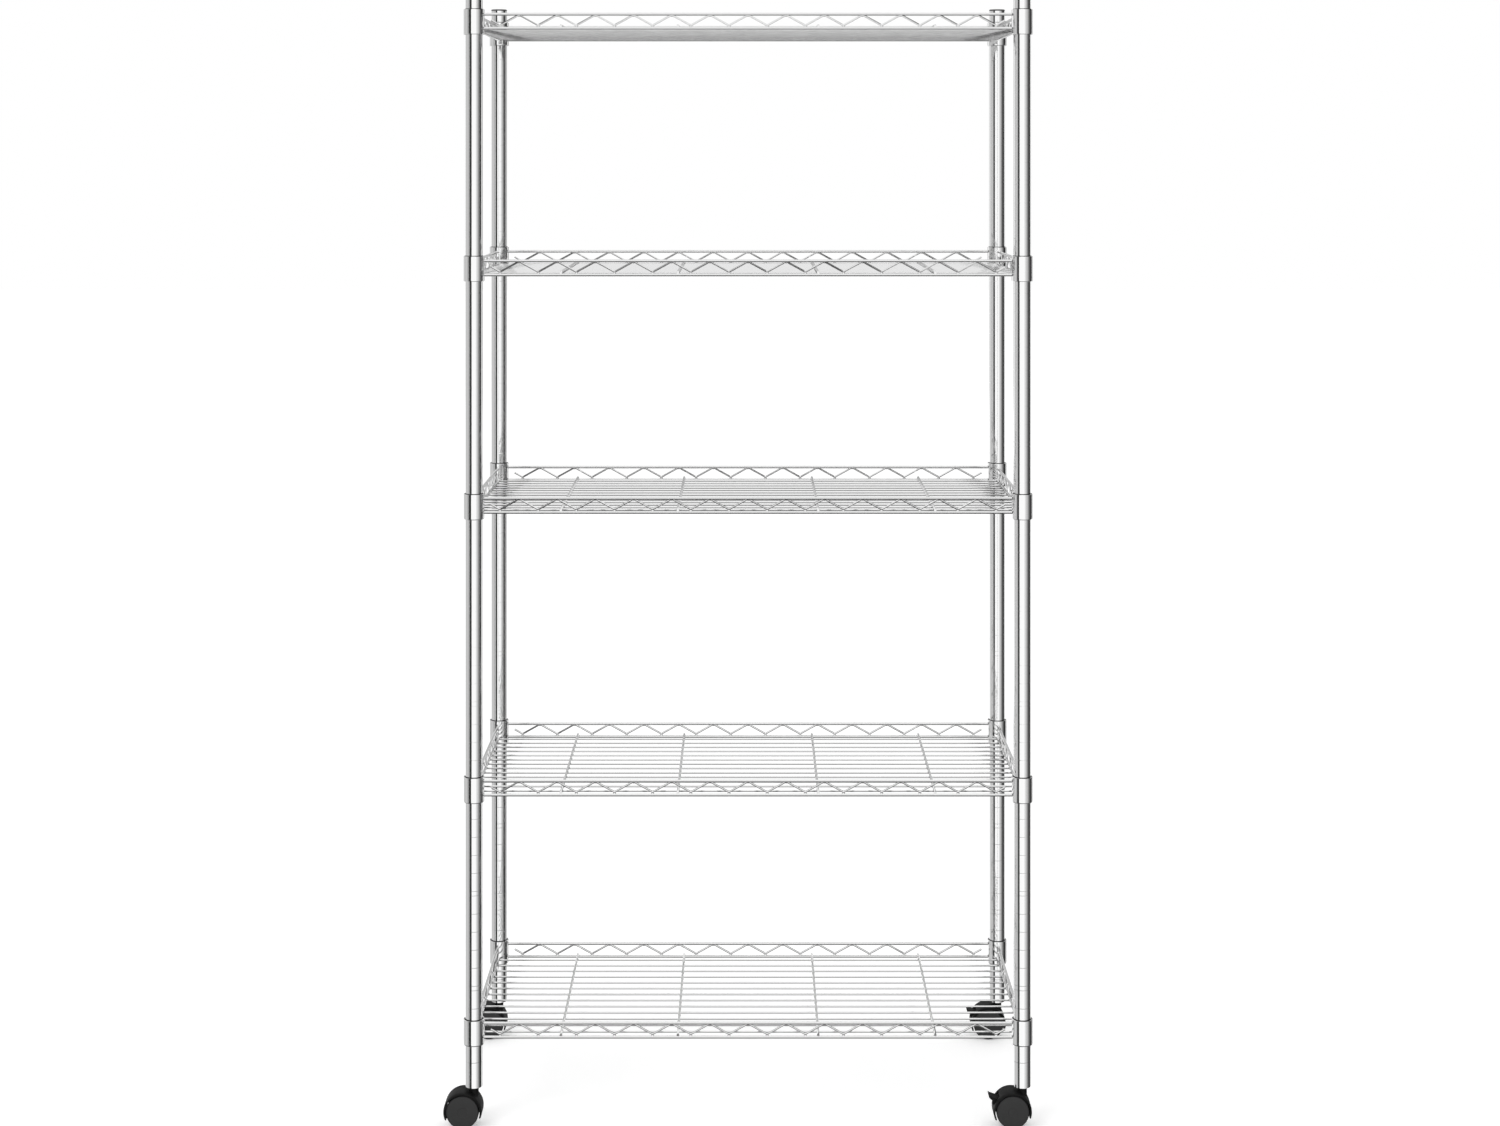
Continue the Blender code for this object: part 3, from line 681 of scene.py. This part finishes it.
# %% One shelf
PEAKS_X, PEAKS_Y = 6, 2    # zigzag peaks each side of the middle one
RAIL_SINK = 0.0006         # rail ends this far into the collar's wall
SPOT_WELD = (0.0012, 0.0012, 0.0008)
begin()
bpy.ops.mesh.primitive_plane_add(size=0.1, location=(0, 0, 0))
shelf = bpy.context.object
bpy.ops.object.mode_set(mode="EDIT")
bpy.ops.mesh.delete(type="VERT")
reach_x, reach_y = HALF_X - COLLAR_R + RAIL_SINK, HALF_Y - COLLAR_R + RAIL_SINK
for height in (0, RAIL_RISE):
    for side in (-1, 1):
        lay_wire(RAIL_R, (-reach_x, side * HALF_Y, height), X * 2 * reach_x)
        lay_wire(RAIL_R, (side * HALF_X, -reach_y, height), Y * 2 * reach_y)
for side in (-1, 1):
    slope = zigzag(Vector((0, side * HALF_Y, 0)), X, PEAKS_X)
    zigzag(Vector((side * HALF_X, 0, 0)), Y, PEAKS_Y)
print("zigzag legs rise at", round(degrees(slope), 1), "degrees")

deck_z = RAIL_R - 0.0001 - DECK_R
first = -HALF_Y + DECK_EDGE
rows = [first - 2 * first * row / (DECK_WIRES - 1) for row in range(DECK_WIRES)]
for row in rows:
    lay_wire(DECK_R, (-HALF_X, row, deck_z), X * 2 * HALF_X, sides=8)
cross_z = RAIL_R + 0.0001 + CROSS_R
for x in (-CROSS_X[1], -CROSS_X[0], CROSS_X[0], CROSS_X[1]):
    lay_wire(CROSS_R, (x, -HALF_Y - 0.0012, cross_z - 0.0009), (0, 0.0014, 0.0002),
             (0, 0.0024, 0.0007), Y * (2 * HALF_Y - 0.0052), (0, 0.0024, -0.0007),
             (0, 0.0014, -0.0002), sides=8)
    for row in rows:
        weld_bead((x, row, RAIL_R), SPOT_WELD)

# %% [markdown]
# ## Zigzag welds
#
# Each peak is welded to the upper rail and each valley to the lower one. A bead fills the
# small gap between wire and rail, and is longer along the rail than across it.

# %% Welds of the zigzags
BEAD_LONG, BEAD_ACROSS, BEAD_TALL = 0.0020, 0.0012, 0.0014


def zigzag_welds(peaks):
    """Distance from the truss's middle and height of each weld of one zigzag."""
    valley_z = (RAIL_R + VALLEY_RISE - ZIGZAG_R) / 2
    return [(k * ZIGZAG_PITCH / 2, valley_z if k % 2 else RAIL_RISE - RAIL_R)
            for k in range(-2 * peaks - 1, 2 * peaks + 2)]


for side in (-1, 1):
    for x, z in zigzag_welds(PEAKS_X):
        weld_bead((x, side * HALF_Y, z), (BEAD_LONG, BEAD_ACROSS, BEAD_TALL))
    for y, z in zigzag_welds(PEAKS_Y):
        weld_bead((side * HALF_X, y, z), (BEAD_ACROSS, BEAD_LONG, BEAD_TALL))
shape_done(shelf, "shelf", WIRE_CHROME)
print("wires of one shelf:", len(shelf.data.polygons), "faces")

# %% Join the collars and copy the shelf
begin()
rings = [copy_of(collar, "ring", (side_x * HALF_X, side_y * HALF_Y, 0))
         for side_x in (-1, 1) for side_y in (-1, 1)]
discard(collar)
for ring in rings:
    ring.select_set(True)
shelf.select_set(True)
bpy.context.view_layer.objects.active = shelf
bpy.ops.object.join()
for tier, height in enumerate(SHELF_Z, start=1):
    made = copy_of(shelf, f"wire_shelf_{tier}", (RACK_X, 0, height))
    fit(made, f"shelf_{tier}")
discard(shelf)
print(len(SHELF_Z), "shelves, each with", len(rings), "collars")

# %% [markdown]
# ## Sleeves
#
# Two plastic half shells clip round the tube, their inner rib in a groove, and the collar
# drops over them and wedges them tight. Their taper is why a shelf holds better the more
# it carries.

# %% Sleeves
low, high = -COLLAR_BELOW, COLLAR_HEIGHT - COLLAR_BELOW
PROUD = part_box("sleeve_1_front_left")[1].z - SHELF_Z[0] - high
print("sleeves stand", round(1000 * PROUD, 1), "mm above the collars")
SPLIT = radians(4)         # a slot this wide is left at each side, between the halves
# the wall's section as (radius, height): upright inside, tapered outside
wall = [(POST_R + 0.0001, low), (POST_R + 0.0001, high + PROUD), (0.0121, high + PROUD),
        (0.0125, high + PROUD - 0.0003), (0.0126, high), (0.0131, low)]


def half_shell(turn):
    """Half a sleeve: the wall's section, spun through a little less than half a turn."""
    begin()
    bpy.ops.mesh.primitive_plane_add(size=0.001)
    piece = bpy.context.object
    bpy.ops.object.mode_set(mode="EDIT")
    bpy.ops.mesh.delete(type="VERT")
    start = turn + SPLIT / 2
    draw_outline([Vector((r * cos(start), r * sin(start), z)) for r, z in wall])
    bpy.ops.mesh.spin(steps=20, angle=-(pi - SPLIT), center=(0, 0, 0), axis=(0, 0, 1))
    return shape_done(piece, "half shell", SLEEVE_PLASTIC)


sleeve = joined("sleeve", half_shell(0), half_shell(pi))
for tier, height in enumerate(SHELF_Z, start=1):
    for corner in CORNERS:
        made = copy_of(sleeve, f"split_sleeve_{tier}_{corner}",
                       POST_AXIS[corner] + Vector((0, 0, height)))
        fit(made, f"sleeve_{tier}_{corner}")
discard(sleeve)

# %% [markdown]
# ## Casters
#
# A furniture caster is a nylon hood on a steel pin. The hood curves over two wheels and
# trails behind the pin, so the caster turns to follow. Each wheel is a cup of hard
# plastic with a rounded tread. On the two right-hand casters a lever in the hood presses
# its toe on the treads. Everything is modelled about the swivel axis at the floor, then
# copied.

# %% Caster sizes
WHEEL_R = 0.0220
TRAIL = 0.0140             # swivel axis to wheel axis, to the left
HOOD_R = 0.02575
HOOD_INNER_R = 0.0234
HOOD_HALF = 0.0170
HUB = Vector((-TRAIL, 0, WHEEL_R))
SLOT_HALF = 0.0094
LEVER_HALF = 0.0088
PIVOT = HUB + 0.0195 * Vector((cos(radians(144)), 0, sin(radians(144))))
SLOT_FLOOR_R, SLOT_TOP_R = 0.0223, 0.031
SLOT_FROM, SLOT_TO = 132, 168    # degrees round the wheel axis
TOE_R = 0.0239
EAR_R, EAR_HALF = 0.0029, 0.0063
WEB_HALF = 0.0025
# pedal, (x, z) from the wheel axis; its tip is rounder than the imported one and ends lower
PEDAL = ((-0.0238, 0.0168), (-0.0296, 0.0188), (-0.0312, 0.0201), (-0.0319, 0.0194),
         (-0.0312, 0.0172), (-0.0284, 0.0142), (-0.0256, 0.0148))
print("wheels", round(2000 * WHEEL_R, 1), "mm across, trailing", round(1000 * TRAIL, 1), "mm")


def round_points(radius, start, end, steps):
    """Points on a circle about the wheel axis, angles in degrees, as (x, z)."""
    return [(radius * cos(radians(start + (end - start) * i / steps)),
             radius * sin(radians(start + (end - start) * i / steps))) for i in range(steps + 1)]


def plate(name, points, half, material, bevel=0.0, angle=30):
    """A plate in the upright plane of the wheel, from (x, z) points about the wheel axis."""
    begin()
    bpy.ops.mesh.primitive_plane_add(size=0.001)
    piece = bpy.context.object
    bpy.ops.object.mode_set(mode="EDIT")
    bpy.ops.mesh.delete(type="VERT")
    draw_outline([HUB + Vector((x, -half, z)) for x, z in points])
    bpy.ops.mesh.extrude_region_move(TRANSFORM_OT_translate={"value": (0, 2 * half, 0)})
    shape_done(piece, name, material, angle)
    if bevel:
        edge = piece.modifiers.new("rounded edges", "BEVEL")
        edge.width = bevel
        edge.segments = 2
        edge.limit_method = "ANGLE"
        edge.angle_limit = radians(40)
        bpy.ops.object.modifier_apply(modifier=edge.name)
        bpy.ops.object.shade_smooth_by_angle(angle=radians(angle))
    return piece


def cut(piece, tool):
    """Cut a tool out of a piece and throw the tool away."""
    begin()
    piece.select_set(True)
    bpy.context.view_layer.objects.active = piece
    step = piece.modifiers.new("cut", "BOOLEAN")
    step.operation = "DIFFERENCE"
    step.solver = "EXACT"
    step.object = tool
    bpy.ops.object.modifier_apply(modifier=step.name)
    discard(tool)
    return piece


# %% [markdown]
# ## Hood
#
# The crown curves over both wheels. A web between the wheels carries the axle, and a barrel
# over the swivel axis takes the pin. The braked hoods have a slot for the lever.

# %% Hood
def fender():
    """The hood's curved crown: a rounded section spun round the wheel axis."""
    begin()
    bpy.ops.mesh.primitive_plane_add(size=0.001)
    piece = bpy.context.object
    bpy.ops.object.mode_set(mode="EDIT")
    bpy.ops.mesh.delete(type="VERT")
    start = radians(-18)
    section = [(HOOD_INNER_R, -HOOD_HALF), (HOOD_R - 0.0016, -HOOD_HALF),
               (HOOD_R - 0.0008, -HOOD_HALF + 0.0007), (HOOD_R - 0.0002, -HOOD_HALF + 0.0024),
               (HOOD_R, -HOOD_HALF + 0.0050), (HOOD_R, HOOD_HALF - 0.0050),
               (HOOD_R - 0.0002, HOOD_HALF - 0.0024), (HOOD_R - 0.0008, HOOD_HALF - 0.0007),
               (HOOD_R - 0.0016, HOOD_HALF), (HOOD_INNER_R, HOOD_HALF)]
    draw_outline([HUB + Vector((r * cos(start), y, r * sin(start))) for r, y in section])
    bpy.ops.mesh.spin(steps=44, angle=radians(222), center=HUB, axis=(0, 1, 0))
    return shape_done(piece, "fender", HOOD_NYLON, 32)


def hood(braked):
    """A hood of crown, web and barrel, with the lever's slot if it is braked."""
    crown = fender()
    web = plate("web", round_points(HOOD_INNER_R + 0.0006, -12, 154, 22)
                + round_points(0.0065, 165, 330, 10), WEB_HALF, HOOD_NYLON)
    slot = (round_points(SLOT_FLOOR_R, SLOT_FROM, SLOT_TO, 6)
            + round_points(SLOT_TOP_R, SLOT_TO, SLOT_FROM, 6))
    for part in (crown, web) if braked else ():
        cut(part, plate("slot", slot, SLOT_HALF, HOOD_NYLON))
    barrel = turned("barrel", [(0.0040, 0.0308), (0.0040, 0.0502), (0.0060, 0.0502),
                               (0.0064, 0.0498), (0.0064, 0.0300), (0.0058, 0.0292),
                               (0, 0.0292), (0, 0.0308), (0.0040, 0.0308)], 40, HOOD_NYLON)
    return joined("hood", crown, web, barrel)


# %% [markdown]
# ## Wheels, pins and lever
#
# Wheels and axles are turned upright and tipped over when they are set in place. A wheel
# is a cup, open towards the web, with a hub inside. The stem has a flange under the post
# and a thread up into it. The lever is a plate with a toe and a pedal, joined to a narrower
# plate that carries its pivot.

# %% Wheels, pins and lever
wheel = turned("wheel", [(0, 0.0166), (0.0060, 0.0166), (0.0066, 0.0170), (0.0192, 0.0170),
                         (0.0204, 0.0168), (0.0213, 0.0162), (0.0218, 0.0154), (WHEEL_R, 0.0144),
                         (WHEEL_R, 0.0080), (0.0217, 0.0074), (0.0213, 0.0072), (0.0190, 0.0072),
                         (0.0188, 0.0076), (0.0188, 0.0148), (0.0055, 0.0148),
                         (0.0055, 0.0034), (0.0029, 0.0034), (0.0029, 0.0138), (0, 0.0138)],
               56, WHEEL_PLASTIC)
axle = turned("axle", [(0, -0.0135), (0.0021, -0.0135), (0.0025, -0.0131), (0.0025, 0.0131),
                       (0.0021, 0.0135), (0, 0.0135)], 24, PIN_ZINC)
foot = LOWER[0]
thread = [(0.0040 - 0.0004 * (i % 2), foot - 0.0003 + 0.0006 * i) for i in range(24)]
stem = turned("stem", [(0, 0.0311), (0.0032, 0.0311), (0.0036, 0.0315),
                       (0.0036, foot - 0.0018), (0.0057, foot - 0.0018), (0.0060, foot - 0.0015),
                       (0.0060, foot - 0.0006), (0.0057, foot - 0.0003), *thread,
                       (0.0034, foot + 0.0150), (0, foot + 0.0150)], 24, PIN_ZINC)
toe = round_points(TOE_R, 158, 141, 6)
lever = plate("lever", toe + list(PEDAL) + round_points(0.0265, 158, 158, 1)[:1], LEVER_HALF,
              HOOD_NYLON, bevel=0.0004)
pivot = PIVOT - HUB
round_ear = [(pivot.x + EAR_R * cos(radians(a)), pivot.z + EAR_R * sin(radians(a)))
             for a in range(234, 415, 20)]
ears = plate("ears", round_ear + round_points(0.0243, 138, 150, 2), EAR_HALF, HOOD_NYLON)
lever = joined("lever", lever, ears)
hoods = {False: hood(False), True: hood(True)}
print("hood", len(hoods[True].data.polygons), "faces, wheel", len(wheel.data.polygons))

# %% [markdown]
# ## Setting the casters
#
# One set of caster pieces is copied under each post, and each copy rides on the body that
# swivels, rolls or presses there.

# %% Set the casters under the posts
for corner in CORNERS:
    spot = POST_AXIS[corner]
    braked = corner in BRAKED
    fit(copy_of(hoods[braked], f"hood_{corner}", spot), f"caster_hood_{corner}")
    fit(copy_of(stem, f"stem_{corner}", spot), f"caster_stem_{corner}")
    side_on = Matrix.Rotation(pi / 2, 4, "X")
    fit(copy_of(axle, f"axle_{corner}", spot + HUB, side_on),
        f"caster_axle_{corner}")
    for side, turn in (("near", pi / 2), ("far", -pi / 2)):
        fit(copy_of(wheel, f"wheel_{corner}_{side}", spot + HUB, Matrix.Rotation(turn, 4, "X")),
            f"caster_wheel_{corner}_{side}")
    if braked:
        fit(copy_of(lever, f"lever_{corner}", spot), f"brake_lever_{corner}")
discard(*hoods.values(), stem, axle, wheel, lever)
print(len(CORNERS), "casters,", len(BRAKED), "of them with a brake lever")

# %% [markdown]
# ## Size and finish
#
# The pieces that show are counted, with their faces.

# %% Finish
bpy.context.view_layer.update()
shown = list(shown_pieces())
print(len(shown), "pieces,", sum(len(o.data.polygons) for o in shown), "faces")
